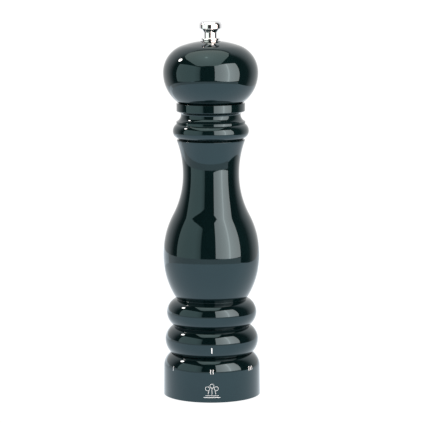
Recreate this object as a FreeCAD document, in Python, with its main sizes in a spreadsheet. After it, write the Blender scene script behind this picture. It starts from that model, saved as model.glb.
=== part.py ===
import FreeCAD, Part
import math
import os
import re

import Sketcher

# Pepper mill with a turned, lacquered case and a grind selector ring at its foot.
# Frame: the mill's own axis is Z, its foot stands on Z = 0, and its index mark faces -Y.
# Everything is in millimetres. Radii are built from the shaft outwards, levels from the foot upwards.

doc = FreeCAD.newDocument("pepper_mill")
dims = doc.addObject("Spreadsheet::Sheet", "dims")

sizes = {
    # fits and gaps
    "run_fit": 0.05,            # radial play of a turning journal
    "slide_fit": 0.2,           # play of a sliding piece in its guide
    "turn_gap": 0.3,            # gap between pieces that turn past each other
    "screw_fit": 0.03,          # play round a screw in its hole
    "end_float": 0.1,           # axial play of the shaft and of the knob's seat

    # shaft and knob thread
    "shaft_flat": 5.0,          # across the flats
    "shaft_corner": 0.8,        # rounded corners stand this far outside the flats
    "journal_step": 0.1,
    "thread_step": 0.05,
    "thread_pitch": 0.8,
    "thread_depth": 0.4,
    "thread_turns": 12,
    "thread_run_out": 5.0,      # plain round stretch between the square and the thread
    "foot_overhang": 1.0,       # shaft below the bridge, which holds the clip
    "clip_depth": 0.5,
    "clip_thick": 0.5,
    "clip_width": 2.2,
    "clip_mouth": 3.0,

    # grinding set
    "burr_top_wall": 1.6,
    "burr_flare": 3.7,
    "burr_height": 16.0,
    "burr_neck_wall": 1.8,
    "burr_gap": 0.45,
    "burr_flights": 8,
    "burr_flight_depth": 1.2,
    "burr_flight_width": 2.0,
    "burr_lead": 52.0,
    "nip_rise": 7.0,            # the tightest place of the ring burr above its foot
    "ring_burr_wall": 2.55,
    "ring_burr_height": 13.4,
    "ring_burr_mouth": 1.7,     # wall left at the flared mouth
    "ring_burr_teeth": 18,
    "ring_tooth_depth": 0.6,
    "carrier_wall": 2.8,
    "carrier_lip": 1.0,
    "carrier_lip_width": 1.4,
    "carrier_rim": 1.2,         # carrier above the ring burr
    "outlet_height": 4.0,       # free height between the bridge and the carrier

    # grind selector
    "step_angle": 53.0,         # turn between two settings
    "step_rise": 0.6,           # lift of the carrier between two settings
    "finer_steps": 1,           # settings on the fine side of rest
    "coarser_steps": 4,         # settings on the coarse side of rest
    "lug_width": 4.0,
    "lug_height": 1.7,
    "lug_rise": 4.0,            # first lug above the carrier's foot
    "groove_depth": 1.5,
    "sleeve_wall": 4.3,
    "sleeve_inset": 0.4,        # sleeve's top below the ring's top
    "sleeve_flange": 1.5,
    "sleeve_flange_width": 2.8,
    "notch_radius": 1.0,
    "notch_height": 4.6,
    "leaf_thick": 0.35,
    "leaf_height": 3.4,
    "leaf_span": 5.4,           # half length of the leaf
    "leaf_bow": 1.5,
    "leaf_tip_radius": 0.8,

    # mechanism housing
    "housing_wall": 3.4,
    "chamber_wall": 2.0,
    "chamber_height": 11.0,
    "funnel_height": 7.0,
    "funnel_ledge": 2.0,
    "funnel_neck": 0.4,
    "flange_thick": 3.5,
    "housing_inset": 0.6,       # wide part of the housing above the wooden body's foot
    "plate_recess": 1.5,        # bridge above the table
    "plate_thick": 2.5,
    "rim_overlap": 2.0,         # bridge's rim under the selector sleeve
    "hub_wall": 1.3,
    "hub_height": 4.5,
    "bush_wall": 1.45,
    "spoke_width": 4.0,
    "guide_thick": 2.5,
    "guide_hub_wall": 2.2,
    "guide_hub_height": 4.6,
    "washer_thick": 0.8,
    "washer_width": 2.3,
    "spring_wire": 0.8,
    "spring_coils": 4,

    # screws
    "screw_radius": 1.1,
    "screw_head_radius": 2.0,
    "screw_length": 9.0,
    "wood_screw_radius": 1.4,
    "wood_screw_head_radius": 2.2,
    "wood_screw_head": 1.6,
    "wood_screw_length": 12.0,
    "sleeve_screw_length": 7.0,
    "sleeve_screw_head": 1.3,
    "tip_length": 1.4,
    "recess_width": 0.6,
    "recess_depth": 0.9,

    # selector ring, turned
    "ring_wall": 6.5,
    "ring_height": 25.3,
    "ring_edge": 0.5,
    "ring_straight": 17.0,
    "ring_taper": 0.3,
    "ring_shoulder": 4.3,
    "foot_width": 3.2,

    # wooden body, turned
    "store_radius": 12.5,
    "bead_wall": 3.05,
    "lower_bead_height": 16.4,
    "lower_bead_crest": 8.0,
    "lower_bead_proud": 5.25,
    "upper_bead_height": 16.2,
    "upper_bead_crest": 8.0,
    "upper_bead_proud": 4.3,
    "bulb_seam": 1.5,
    "bulb_proud": 7.75,
    "bulb_rise": 26.3,
    "waist_rise": 48.3,
    "waist_straight": 0.6,
    "waist_wall": 4.3,
    "flare_rise": 20.1,
    "flare_proud": 3.6,
    "nick_depth": 1.6,
    "nick_height": 0.7,
    "neck_bead_height": 8.8,
    "neck_bead_crest": 4.6,
    "neck_bead_proud": 2.25,
    "lip_height": 1.5,
    "lip_proud": 0.1,
    "cove_height": 4.1,
    "cove_wall": 5.3,
    "cove_neck": 1.4,
    "cove_flare": 1.1,          # the cove widens again under the collar
    "collar_slope": 0.5,
    "collar_edge": 0.5,
    "collar_height": 4.9,
    "collar_wall": 7.9,
    "mouth_chamfer": 0.8,

    # head, turned
    "head_gap": 0.25,
    "head_foot_step": 1.2,
    "head_proud": 7.85,
    "head_crest_rise": 17.85,
    "head_dome_rise": 18.9,
    "head_side_radius": 17.0,
    "spigot_height": 8.6,
    "spigot_fit": 0.3,
    "spigot_wall": 2.0,
    "drive_plate_thick": 2.0,
    "head_bore_play": 0.6,
    "seat_depth": 0.7,
    "seat_play": 0.6,

    # knob
    "knob_washer_thick": 0.5,
    "knob_washer_width": 2.4,
    "knob_wall": 1.4,
    "knob_flange_proud": 1.7,
    "knob_flange_height": 1.6,
    "knob_neck_height": 3.3,
    "knob_cone_height": 2.1,
    "knob_cone_proud": 1.6,
    "knob_disc_proud": 1.2,
    "knob_disc_height": 4.6,
    "knob_round": 2.6,
    "knob_small_round": 0.5,
    "knob_bore_depth": 7.0,
}

for row, (alias, number) in enumerate(sizes.items(), start=1):
    dims.set(f"A{row}", str(number))
    dims.setAlias(f"A{row}", alias)
doc.recompute()

# ---------------------------------------------------------------- worked-out sizes

derived = {}


def bound(text):
    """Expression text in which every size is read from the sheet."""
    def swap(match):
        word = match.group(0)
        return derived.get(word, f"dims.{word}" if word in sizes else word)
    return re.sub(r"[a-z][a-z_]*[a-z]", swap, text)


def define(word, text):
    derived[word] = f"({bound(text)})"


# radii, from the shaft outwards
define("half_flat", "shaft_flat / 2")
define("shaft_r", "half_flat + shaft_corner")
define("journal_r", "half_flat - journal_step")
define("thread_r", "half_flat - thread_step")
define("bush_r", "journal_r + run_fit + bush_wall")
define("hub_r", "bush_r + hub_wall")
define("guide_bore", "shaft_r + run_fit")
define("burr_top_r", "shaft_r + burr_top_wall")
define("burr_foot_r", "burr_top_r + burr_flare")
define("ring_burr_r", "burr_foot_r + burr_gap + ring_burr_wall")
define("carrier_r", "ring_burr_r + carrier_wall")
define("housing_bore", "carrier_r + slide_fit")
define("housing_r", "housing_bore + housing_wall")
define("sleeve_bore", "housing_r + turn_gap")
define("sleeve_r", "sleeve_bore + sleeve_wall")
define("lug_tip_r", "sleeve_bore + groove_depth - turn_gap")
define("leaf_foot", "housing_r - leaf_bow - leaf_thick - slide_fit")
define("rim_r", "sleeve_bore + rim_overlap")
define("base_r", "sleeve_r + ring_wall")
define("seam_r", "base_r - ring_taper - ring_shoulder")
define("sleeve_flange_r", "sleeve_r + sleeve_flange_width")
define("sleeve_screw_r", "sleeve_r + sleeve_flange_width / 2")
define("plate_screw_r", "housing_bore + housing_wall / 2")
define("wood_screw_r", "store_radius + wood_screw_head_radius + 2 * slide_fit")
define("chamber_r", "wood_screw_r + wood_screw_head_radius + slide_fit")
define("socket_r", "chamber_r + chamber_wall")

# levels, from the foot upwards
define("plate_top", "plate_recess + plate_thick")
define("hub_top", "plate_recess + hub_height")
define("washer_foot", "hub_top + end_float")
define("square_foot", "washer_foot + washer_thick")
define("carrier_foot", "plate_top + outlet_height")
define("burr_foot", "carrier_foot + carrier_lip")
define("burr_top", "burr_foot + burr_height")
define("carrier_top", "burr_foot + ring_burr_height + carrier_rim")
define("bore_top", "carrier_top + coarser_steps * step_rise + turn_gap")
define("ledge_level", "bore_top + funnel_height")
define("chamber_top", "ledge_level + chamber_height")
define("housing_top", "chamber_top + flange_thick")
define("first_lug", "carrier_foot + lug_rise")
define("lead", "step_rise * 360 / step_angle")
define("lug_slot_top",
       "first_lug + lead * 2 / 3 + lug_height / 2 + coarser_steps * step_rise + turn_gap")
define("sleeve_top", "ring_height - sleeve_inset")
define("body_foot", "ring_height + turn_gap")
define("bead_seam", "body_foot + lower_bead_height")
define("bulb_foot", "bead_seam + upper_bead_height")
define("bulb_level", "bulb_foot + bulb_rise")
define("waist_level", "bulb_level + waist_rise")
define("waist_top", "waist_level + waist_straight")
define("flare_level", "waist_top + flare_rise")
define("nick_level", "flare_level + nick_height")
define("lip_level", "nick_level + neck_bead_height")
define("cove_foot", "lip_level + lip_height")
define("cove_top", "cove_foot + cove_height")
define("collar_foot", "cove_top + cove_neck + collar_slope")
define("collar_top", "collar_foot + collar_height")
define("head_foot", "collar_top + head_gap")
define("head_crest", "head_foot + head_crest_rise")
define("head_apex", "head_crest + head_dome_rise")
define("seat_level", "head_apex - seat_depth")
define("spigot_foot", "head_foot - spigot_height")
define("knob_washer_foot", "seat_level + end_float")
define("knob_foot", "knob_washer_foot + knob_washer_thick + end_float")
define("thread_top", "knob_foot + knob_bore_depth - turn_gap")
define("thread_foot", "thread_top - thread_turns * thread_pitch")
define("square_top", "thread_foot - thread_run_out")

# turned outline of the case
define("bead_seam_r", "socket_r + bead_wall")
define("lower_bead_r", "bead_seam_r + lower_bead_proud")
define("upper_bead_r", "bead_seam_r + upper_bead_proud")
define("bulb_seam_r", "bead_seam_r - bulb_seam")
define("bulb_r", "bulb_seam_r + bulb_proud")
define("waist_r", "store_radius + waist_wall")
define("flare_r", "waist_r + flare_proud")
define("nick_r", "flare_r - nick_depth")
define("neck_bead_r", "flare_r + neck_bead_proud")
define("lip_r", "flare_r + lip_proud")
define("cove_r", "store_radius + cove_wall")
define("collar_r", "store_radius + collar_wall")
define("head_r", "collar_r + head_proud")
define("spigot_r", "store_radius - spigot_fit")
define("drive_plate_r", "spigot_r - spigot_wall")
define("head_bore", "shaft_r + head_bore_play")
define("drive_screw_r", "(head_bore + drive_plate_r) / 2")
define("knob_bore", "thread_r + run_fit")
define("knob_neck_r", "knob_bore + knob_wall")
define("knob_flange_r", "knob_neck_r + knob_flange_proud")
define("knob_cone_r", "knob_neck_r + knob_cone_proud")
define("knob_disc_r", "knob_cone_r + knob_disc_proud")

# the head's side arc and its dome meet at one tangent point
define("dome_side", "head_r - head_side_radius")
define("dome_radius",
       "(dome_side ^ 2 + head_dome_rise ^ 2 - head_side_radius ^ 2)"
       " / (2 * (head_dome_rise - head_side_radius))")
define("dome_share", "dome_radius / (dome_radius - head_side_radius)")
define("dome_join_r", "dome_side * dome_share")
define("dome_join", "head_apex - dome_radius + (head_crest - head_apex + dome_radius) * dome_share")
define("seat_r", "knob_flange_r + seat_play")
define("seat_rim", "head_apex - dome_radius + sqrt(dome_radius ^ 2 - seat_r ^ 2)")

# ---------------------------------------------------------------- drawing helpers

pieces = []


def newBody(name):
    body = doc.addObject("PartDesign::Body", name)
    body.Label = name
    pieces.append(body)
    return body


def originPart(body, role):
    return next(item for item in body.Origin.OriginFeatures if item.Role == role)


def newSketch(body, name, plane, level=None):
    """A sketch on one of the body's origin planes, lifted to a level where one is given."""
    sketch = body.newObject("Sketcher::SketchObject", f"{body.Name}_{name}")
    sketch.AttachmentSupport = [(originPart(body, plane), "")]
    sketch.MapMode = "FlatFace"
    if level:
        sketch.setExpression("AttachmentOffset.Base.z", bound(level))
    return sketch


def numberOf(sketch, text):
    return float(sketch.evalExpression(bound(text)))


def drive(sketch, constraint, text):
    """Adds one dimension and ties it to the sheet."""
    index = sketch.addConstraint(Sketcher.Constraint(*constraint, numberOf(sketch, text)))
    sketch.setExpression(f"Constraints[{index}]", bound(text))


def arcBetween(start, end, centre):
    """The short arc from start to end, and whether it runs against its own direction."""
    radius = math.dist(centre, start)
    first = math.atan2(start[1] - centre[1], start[0] - centre[0])
    last = math.atan2(end[1] - centre[1], end[0] - centre[0])
    backwards = (last - first) % (2 * math.pi) > math.pi
    if backwards:
        first, last = last, first
    circle = Part.Circle(FreeCAD.Vector(*centre, 0), FreeCAD.Vector(0, 0, 1), radius)
    return Part.ArcOfCircle(circle, first, last), backwards


def drawOutline(sketch, corners):
    """Draws a closed outline of corners (across, up) tied to the sheet.

    A third entry makes the side after that corner an arc: ("up", text) or ("across", text)
    gives one coordinate of its centre, and the two corners give the other.
    """
    spots = [(numberOf(sketch, corner[0]), numberOf(sketch, corner[1])) for corner in corners]
    ends = []
    for index, corner in enumerate(corners):
        start, end = spots[index], spots[(index + 1) % len(spots)]
        if len(corner) == 2:
            line = Part.LineSegment(FreeCAD.Vector(*start, 0), FreeCAD.Vector(*end, 0))
            ends.append((sketch.addGeometry(line), 1, 2))
            continue
        way, text = corner[2]
        known = 0 if way == "across" else 1
        other = 1 - known
        fixed = numberOf(sketch, text)
        squares = (start[known] - fixed) ** 2 - (end[known] - fixed) ** 2
        found = (start[other] ** 2 - end[other] ** 2 + squares) / (2 * (start[other] - end[other]))
        centre = (fixed, found) if way == "across" else (found, fixed)
        arc, backwards = arcBetween(start, end, centre)
        place = sketch.addGeometry(arc)
        ends.append((place, 2, 1) if backwards else (place, 1, 2))
        drive(sketch, ("DistanceX" if way == "across" else "DistanceY", place, 3), text)
    for index, corner in enumerate(corners):
        place, first, _ = ends[index]
        before, _, last = ends[index - 1]
        sketch.addConstraint(Sketcher.Constraint("Coincident", before, last, place, first))
        drive(sketch, ("DistanceX", place, first), corner[0])
        drive(sketch, ("DistanceY", place, first), corner[1])


def drawCircle(sketch, across, up, radius):
    spot = FreeCAD.Vector(numberOf(sketch, across), numberOf(sketch, up), 0)
    circle = Part.Circle(spot, FreeCAD.Vector(0, 0, 1), numberOf(sketch, radius))
    place = sketch.addGeometry(circle)
    drive(sketch, ("DistanceX", place, 3), across)
    drive(sketch, ("DistanceY", place, 3), up)
    drive(sketch, ("Radius", place), radius)


def box(left, right, low, high):
    return [(left, low), (right, low), (right, high), (left, high)]


def revolve(body, name, corners, kind="Revolution", axis=None):
    """Turns an outline of (radius, level) corners about Z, or about a vertical line at axis."""
    sketch = newSketch(body, f"{name}_outline", "XZ_Plane")
    if axis:
        spot = numberOf(sketch, axis)
        line = Part.LineSegment(FreeCAD.Vector(spot, 0, 0), FreeCAD.Vector(spot, 1, 0))
        place = sketch.addGeometry(line, True)
        sketch.addConstraint(Sketcher.Constraint("Vertical", place))
        drive(sketch, ("DistanceX", place, 1), axis)
        sketch.addConstraint(Sketcher.Constraint("PointOnObject", place, 1, -1))
        sketch.addConstraint(Sketcher.Constraint("Distance", place, 1.0))
    drawOutline(sketch, corners)
    turn = body.newObject(f"PartDesign::{kind}", f"{body.Name}_{name}")
    turn.Profile = (sketch, [""])
    turn.ReferenceAxis = (sketch, ["Axis0" if axis else "V_Axis"])
    turn.Angle = 360
    return turn


def extrude(body, name, level, height, draw, kind="Pad"):
    """Pads or pockets upwards from a level; draw puts the outline into the sketch."""
    sketch = newSketch(body, f"{name}_outline", "XY_Plane", level)
    draw(sketch)
    feature = body.newObject(f"PartDesign::{kind}", f"{body.Name}_{name}")
    feature.Profile = (sketch, [""])
    feature.Reversed = kind == "Pocket"
    feature.setExpression("Length", bound(height))
    return feature


def cut(body, name, level, height, draw):
    """A pocket upwards from a level, which has to take something away."""
    doc.recompute()
    before = body.Shape.Volume
    feature = extrude(body, name, level, height, draw, "Pocket")
    doc.recompute()
    if feature.Shape.Volume >= before:
        raise RuntimeError(f"{name} cuts nothing from {body.Label}")
    return feature


def ringOf(body, name, features, count, angle="360"):
    """Repeats features round the mill's axis."""
    pattern = body.newObject("PartDesign::PolarPattern", f"{body.Name}_{name}")
    pattern.Originals = features
    pattern.Axis = (originPart(body, "Z_Axis"), [""])
    pattern.setExpression("Angle", bound(angle))
    pattern.setExpression("Occurrences", bound(count))
    body.Tip = pattern
    doc.recompute()
    return pattern


def spiral(body, name, corners, pitch, height, kind, flare=None, left=False):
    """Sweeps an outline of (radius, level) corners up a helix about Z."""
    sketch = newSketch(body, f"{name}_outline", "XZ_Plane")
    if callable(corners):
        corners(sketch)
    else:
        drawOutline(sketch, corners)
    helix = body.newObject(f"PartDesign::{kind}", f"{body.Name}_{name}")
    helix.Profile = (sketch, [""])
    helix.ReferenceAxis = (sketch, ["V_Axis"])
    helix.Mode = 0
    helix.setExpression("Pitch", bound(pitch))
    helix.setExpression("Height", bound(height))
    if flare:
        helix.setExpression("Angle", bound(flare))
    helix.LeftHanded = left
    doc.recompute()
    return helix


def turnPiece(body, angle):
    body.Placement = FreeCAD.Placement(FreeCAD.Vector(), FreeCAD.Rotation(FreeCAD.Vector(0, 0, 1), angle))


spokeTurn = 60          # bridge spokes and screws stand between the lugs
lugCount = "3"
screwCount = "3"

# ---------------------------------------------------------------- case


def makeWoodenBody():
    body = newBody("wooden_body")
    revolve(body, "turning", [
        ("socket_r", "body_foot"),
        ("seam_r", "body_foot", ("up", "body_foot + lower_bead_crest")),
        ("lower_bead_r", "body_foot + lower_bead_crest", ("up", "body_foot + lower_bead_crest")),
        ("bead_seam_r", "bead_seam", ("up", "bead_seam + upper_bead_crest")),
        ("upper_bead_r", "bead_seam + upper_bead_crest", ("up", "bead_seam + upper_bead_crest")),
        ("bulb_seam_r", "bulb_foot", ("up", "bulb_level")),
        ("bulb_r", "bulb_level", ("up", "bulb_level")),
        ("(bulb_r + waist_r) / 2", "(bulb_level + waist_level) / 2", ("up", "waist_level")),
        ("waist_r", "waist_level"),
        ("waist_r", "waist_top", ("up", "waist_top")),
        ("flare_r", "flare_level"),
        ("nick_r", "nick_level", ("up", "nick_level + neck_bead_crest")),
        ("neck_bead_r", "nick_level + neck_bead_crest", ("up", "nick_level + neck_bead_crest")),
        ("lip_r", "lip_level"),
        ("lip_r", "cove_foot", ("up", "cove_top")),
        ("cove_r", "cove_top", ("up", "cove_top")),
        ("cove_r + cove_flare", "cove_top + cove_neck"),
        ("collar_r - collar_edge", "collar_foot", ("up", "collar_foot + collar_edge")),
        ("collar_r", "collar_foot + collar_edge"),
        ("collar_r", "collar_top"),
        ("store_radius + mouth_chamfer", "collar_top"),
        ("store_radius", "collar_top - mouth_chamfer"),
        ("store_radius", "housing_top"),
        ("socket_r", "housing_top"),
    ])
    hole = cut(body, "pilot_hole", "housing_top", "wood_screw_length - flange_thick", lambda sketch:
               drawCircle(sketch, "wood_screw_r", "0", "wood_screw_radius + screw_fit"))
    ringOf(body, "pilot_holes", [hole], screwCount)


def makeHousing():
    body = newBody("mechanism_housing")
    revolve(body, "shell", [
        ("housing_bore", "plate_top"),
        ("housing_r", "plate_top"),
        ("housing_r", "body_foot + housing_inset"),
        ("socket_r", "body_foot + housing_inset"),
        ("socket_r", "housing_top"),
        ("store_radius", "housing_top"),
        ("store_radius", "chamber_top"),
        ("chamber_r", "chamber_top"),
        ("chamber_r", "ledge_level"),
        ("chamber_r - funnel_ledge", "ledge_level"),
        ("ring_burr_r + funnel_neck", "bore_top"),
        ("housing_bore", "bore_top"),
    ])
    slot = cut(body, "lug_slot", "plate_top", "lug_slot_top - plate_top", lambda sketch: drawOutline(
        sketch, box("housing_bore - housing_wall", "housing_r + housing_wall",
                    "0 - lug_width / 2 - slide_fit", "lug_width / 2 + slide_fit")))
    ringOf(body, "lug_slots", [slot], lugCount)
    hole = cut(body, "flange_hole", "chamber_top", "flange_thick", lambda sketch:
               drawCircle(sketch, "wood_screw_r", "0", "wood_screw_radius + screw_fit"))
    ringOf(body, "flange_holes", [hole], screwCount)
    hole = cut(body, "plate_hole", "plate_top", "screw_length", lambda sketch: drawCircle(
        sketch, f"plate_screw_r * cos({spokeTurn})", f"plate_screw_r * sin({spokeTurn})",
        "screw_radius + screw_fit"))
    ringOf(body, "plate_holes", [hole], screwCount)
    cut(body, "leaf_pocket", "sleeve_top - notch_height", "notch_height", lambda sketch: drawOutline(
        sketch, box("0 - leaf_span - slide_fit", "leaf_span + slide_fit",
                    "leaf_foot", "housing_r + housing_wall")))


def makeDetentLeaf():
    body = newBody("detent_leaf")
    level = "sleeve_top - notch_height / 2 - leaf_height / 2"
    extrude(body, "strip", level, "leaf_height", lambda sketch: drawOutline(sketch, [
        ("0 - leaf_span", "leaf_foot", ("across", "0")),
        ("0", "leaf_foot + leaf_bow", ("across", "0")),
        ("leaf_span", "leaf_foot"),
        ("leaf_span", "leaf_foot + leaf_thick", ("across", "0")),
        ("0", "leaf_foot + leaf_bow + leaf_thick", ("across", "0")),
        ("0 - leaf_span", "leaf_foot + leaf_thick"),
    ]))
    extrude(body, "tip", level, "leaf_height", lambda sketch: drawCircle(
        sketch, "0", "leaf_foot + leaf_bow + leaf_thick", "leaf_tip_radius"))


def makeGuide():
    body = newBody("shaft_guide")
    revolve(body, "rim", box("chamber_r - funnel_ledge", "chamber_r - run_fit",
                             "ledge_level", "ledge_level + guide_thick"))
    spoke = extrude(body, "spoke", "ledge_level", "guide_thick", lambda sketch: drawOutline(
        sketch, box("guide_bore + guide_hub_wall / 2", "chamber_r - funnel_ledge / 2",
                    "0 - spoke_width / 2", "spoke_width / 2")))
    ringOf(body, "spokes", [spoke], lugCount)
    revolve(body, "hub", box("guide_bore", "guide_bore + guide_hub_wall",
                             "ledge_level", "ledge_level + guide_hub_height"))
    turnPiece(body, spokeTurn)


def makeBridge():
    body = newBody("lower_bridge")
    revolve(body, "rim", box("housing_bore", "rim_r", "plate_recess", "plate_top"))
    spoke = extrude(body, "spoke", "plate_recess", "plate_thick", lambda sketch: drawOutline(
        sketch, box("bush_r + hub_wall / 2", "housing_bore + housing_wall / 2",
                    "0 - spoke_width / 2", "spoke_width / 2")))
    ringOf(body, "spokes", [spoke], lugCount)
    revolve(body, "hub", box("bush_r", "hub_r", "plate_recess", "hub_top"))
    doc.recompute()
    seat = revolve(body, "screw_seat", [
        ("plate_screw_r", "plate_recess"),
        ("plate_screw_r + screw_head_radius + screw_fit", "plate_recess"),
        ("plate_screw_r + screw_radius + screw_fit",
         "plate_recess + screw_head_radius - screw_radius"),
        ("plate_screw_r + screw_radius + screw_fit", "plate_top"),
        ("plate_screw_r", "plate_top"),
    ], "Groove", "plate_screw_r")
    ringOf(body, "screw_seats", [seat], screwCount)
    turnPiece(body, spokeTurn)


def makeBush():
    body = newBody("foot_bush")
    revolve(body, "tube", box("journal_r + run_fit", "bush_r", "plate_recess", "hub_top"))


def crossRecess(body, pitch, level):
    """Cross recess for a driver in the underside of a screw head."""
    return cut(body, "recess", level, "recess_depth", lambda sketch: drawOutline(sketch, [
        (f"{pitch} + ({across}) * recess_width / 2", f"({up}) * recess_width / 2")
        for across, up in ((4, 1), (1, 1), (1, 4), (-1, 4), (-1, 1), (-4, 1),
                           (-4, -1), (-1, -1), (-1, -4), (1, -4), (1, -1), (4, -1))]))


def makeCountersunkScrews(name, pitch, level, length, angle):
    """Countersunk screws that point upwards, their heads flush with a level."""
    body = newBody(name)
    screw = revolve(body, "screw", [
        (pitch, level),
        (f"{pitch} + screw_head_radius", level),
        (f"{pitch} + screw_radius", f"{level} + screw_head_radius - screw_radius"),
        (f"{pitch} + screw_radius", f"{level} + {length} - tip_length"),
        (pitch, f"{level} + {length}"),
    ], axis=pitch)
    recess = crossRecess(body, pitch, level)
    ringOf(body, "screws", [screw, recess], screwCount)
    turnPiece(body, angle)


def makeHousingScrews():
    body = newBody("housing_screws")
    screw = revolve(body, "screw", [
        ("wood_screw_r", "chamber_top - wood_screw_head"),
        ("wood_screw_r + wood_screw_head_radius / 2", "chamber_top - wood_screw_head"),
        ("wood_screw_r + wood_screw_head_radius", "chamber_top - wood_screw_head / 2"),
        ("wood_screw_r + wood_screw_head_radius", "chamber_top"),
        ("wood_screw_r + wood_screw_radius", "chamber_top"),
        ("wood_screw_r + wood_screw_radius", "chamber_top + wood_screw_length - 2 * tip_length"),
        ("wood_screw_r", "chamber_top + wood_screw_length - tip_length / 2"),
    ], axis="wood_screw_r")
    recess = crossRecess(body, "wood_screw_r", "chamber_top - wood_screw_head")
    ringOf(body, "screws", [screw, recess], screwCount)


# ---------------------------------------------------------------- selector ring


def makeSelectorRing():
    body = newBody("base_ring")
    revolve(body, "turning", [
        ("base_r - foot_width", "0"),
        ("base_r - ring_edge", "0", ("up", "ring_edge")),
        ("base_r", "ring_edge"),
        ("base_r - ring_taper", "ring_straight", ("up", "ring_straight")),
        ("seam_r", "ring_height"),
        ("sleeve_r", "ring_height"),
        ("sleeve_r", "plate_recess + sleeve_flange"),
        ("base_r - foot_width", "plate_recess + sleeve_flange"),
    ])
    hole = cut(body, "pilot_hole", "plate_recess + sleeve_flange", "sleeve_screw_length - sleeve_flange",
               lambda sketch: drawCircle(sketch, "sleeve_screw_r", "0", "screw_radius + screw_fit"))
    ringOf(body, "pilot_holes", [hole], screwCount)


def makeSleeve():
    body = newBody("selector_sleeve")
    revolve(body, "shell", [
        ("rim_r + turn_gap", "plate_recess"),
        ("sleeve_flange_r", "plate_recess"),
        ("sleeve_flange_r", "plate_recess + sleeve_flange"),
        ("sleeve_r", "plate_recess + sleeve_flange"),
        ("sleeve_r", "sleeve_top"),
        ("sleeve_bore", "sleeve_top"),
        ("sleeve_bore", "plate_top + turn_gap"),
        ("rim_r + turn_gap", "plate_top + turn_gap"),
    ])
    notchAngle = "(90 - finer_steps * step_angle)"
    notch = cut(body, "notch", "sleeve_top - notch_height", "notch_height", lambda sketch: drawCircle(
        sketch, f"(sleeve_bore - slide_fit) * cos({notchAngle})",
        f"(sleeve_bore - slide_fit) * sin({notchAngle})", "notch_radius"))
    ringOf(body, "notches", [notch], "finer_steps + coarser_steps + 1",
           "(finer_steps + coarser_steps) * step_angle")
    # one groove climbs through all three lugs, two turns below the first lug to start with
    spiral(body, "lug_groove", box("sleeve_bore - turn_gap", "sleeve_bore + groove_depth",
                                   "first_lug - 2 * lead - lug_height / 2 - slide_fit",
                                   "first_lug - 2 * lead + lug_height / 2 + slide_fit"),
           "lead", "lead * 8 / 3 + coarser_steps * step_rise + lug_height", "SubtractiveHelix")
    seat = revolve(body, "screw_seat", [
        ("sleeve_screw_r", "plate_recess"),
        ("sleeve_screw_r + sleeve_screw_head + screw_fit", "plate_recess"),
        ("sleeve_screw_r + screw_radius + screw_fit", "plate_recess + screw_radius / 2"),
        ("sleeve_screw_r + screw_radius + screw_fit", "plate_recess + sleeve_flange"),
        ("sleeve_screw_r", "plate_recess + sleeve_flange"),
    ], "Groove", "sleeve_screw_r")
    ringOf(body, "screw_seats", [seat], screwCount)


def makeSleeveScrews():
    body = newBody("sleeve_screws")
    screw = revolve(body, "screw", [
        ("sleeve_screw_r", "plate_recess"),
        ("sleeve_screw_r + sleeve_screw_head", "plate_recess"),
        ("sleeve_screw_r + screw_radius", "plate_recess + screw_radius / 2"),
        ("sleeve_screw_r + screw_radius", "plate_recess + sleeve_screw_length - tip_length"),
        ("sleeve_screw_r", "plate_recess + sleeve_screw_length"),
    ], axis="sleeve_screw_r")
    ringOf(body, "screws", [screw], screwCount)


# ---------------------------------------------------------------- burrs


def makeCarrier():
    body = newBody("burr_carrier")
    revolve(body, "cup", [
        ("ring_burr_r - carrier_lip_width", "carrier_foot"),
        ("carrier_r", "carrier_foot"),
        ("carrier_r", "carrier_top"),
        ("ring_burr_r", "carrier_top"),
        ("ring_burr_r", "burr_foot"),
        ("ring_burr_r - carrier_lip_width", "burr_foot"),
    ])
    # three lugs reach through the housing into the sleeve's groove, each a third of a lead higher
    for place in range(3):
        turn = f"{place} * 120"
        corners = [("carrier_r - carrier_wall / 2", "0 - lug_width / 2"),
                   ("lug_tip_r", "0 - lug_width / 2"),
                   ("lug_tip_r", "lug_width / 2"),
                   ("carrier_r - carrier_wall / 2", "lug_width / 2")]
        extrude(body, f"lug_{place}", f"first_lug + lead * {place} / 3 - lug_height / 2", "lug_height",
                lambda sketch: drawOutline(sketch, [
                    (f"({out}) * cos({turn}) - ({side}) * sin({turn})",
                     f"({out}) * sin({turn}) + ({side}) * cos({turn})") for out, side in corners]))


def makeRingBurr():
    body = newBody("ring_burr")
    nip = "(burr_foot_r - burr_flare * nip_rise / burr_height + burr_gap)"
    revolve(body, "ring", [
        ("burr_foot_r + burr_gap", "burr_foot"),
        ("ring_burr_r", "burr_foot"),
        ("ring_burr_r", "burr_foot + ring_burr_height"),
        ("ring_burr_r - ring_burr_mouth", "burr_foot + ring_burr_height"),
        (nip, "burr_foot + nip_rise"),
    ])
    tooth = cut(body, "tooth", "burr_foot", "ring_burr_height", lambda sketch: drawOutline(sketch, [
        ("burr_top_r", "0 - ring_tooth_depth"),
        ("burr_foot_r + burr_gap + ring_tooth_depth", "0 - ring_tooth_depth / 4"),
        ("burr_top_r", "ring_tooth_depth")]))
    ringOf(body, "teeth", [tooth], "ring_burr_teeth")


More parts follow.
